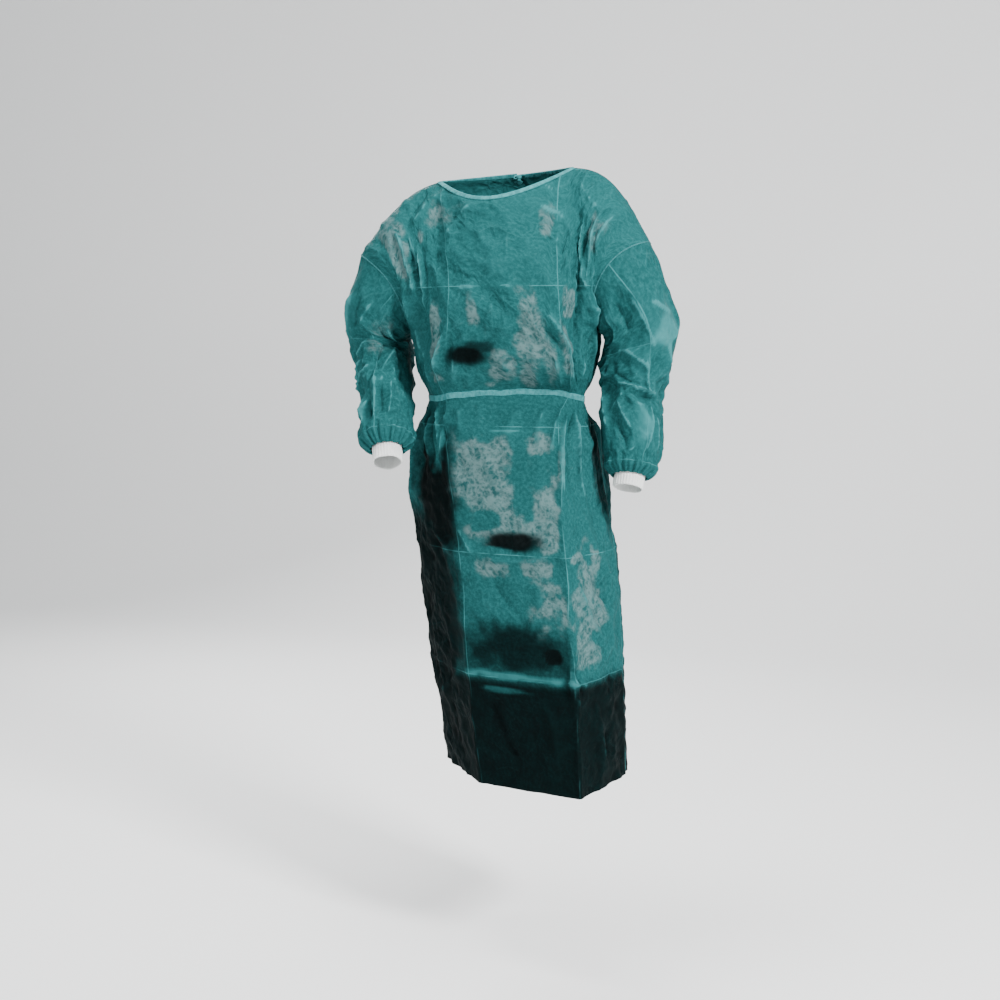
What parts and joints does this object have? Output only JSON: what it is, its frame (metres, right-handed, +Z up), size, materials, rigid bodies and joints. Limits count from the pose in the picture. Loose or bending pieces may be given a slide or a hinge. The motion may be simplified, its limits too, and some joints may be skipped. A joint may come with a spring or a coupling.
{
  "type": "visitor gown",
  "caption": "Long-sleeved visitor gown of thin nonwoven cloth in its worn, hollow form, with knitted cuffs, a bound scoop neck, overlapping backs and a tied belt.",
  "frame": {"origin": "middle of the neck opening at the height of the shoulders, where the wearer carries the gown", "axes": "+Z up the wearer's body, the wearer faces -Y, +X to the wearer's left"},
  "size_m": [0.6898, 0.3577, 1.2131],
  "materials": {
    "cloth": "matte thin nonwoven",
    "tape": "matte folded nonwoven tape",
    "knit": "matte rib knit"
  },
  "bodies": {
    "root": {"front": "cloth", "back_left": "cloth", "back_right": "cloth", "sleeve_left": "cloth", "sleeve_right": "cloth", "cuff_left": "knit", "cuff_right": "knit", "neck_binding": "tape", "neck_tie_knot": "tape", "neck_tie_end_left": "tape", "neck_tie_end_right": "tape", "belt": "tape", "belt_tie_knot": "tape", "belt_tie_end_left": "tape", "belt_tie_end_right": "tape"}
  },
  "joints": []
}
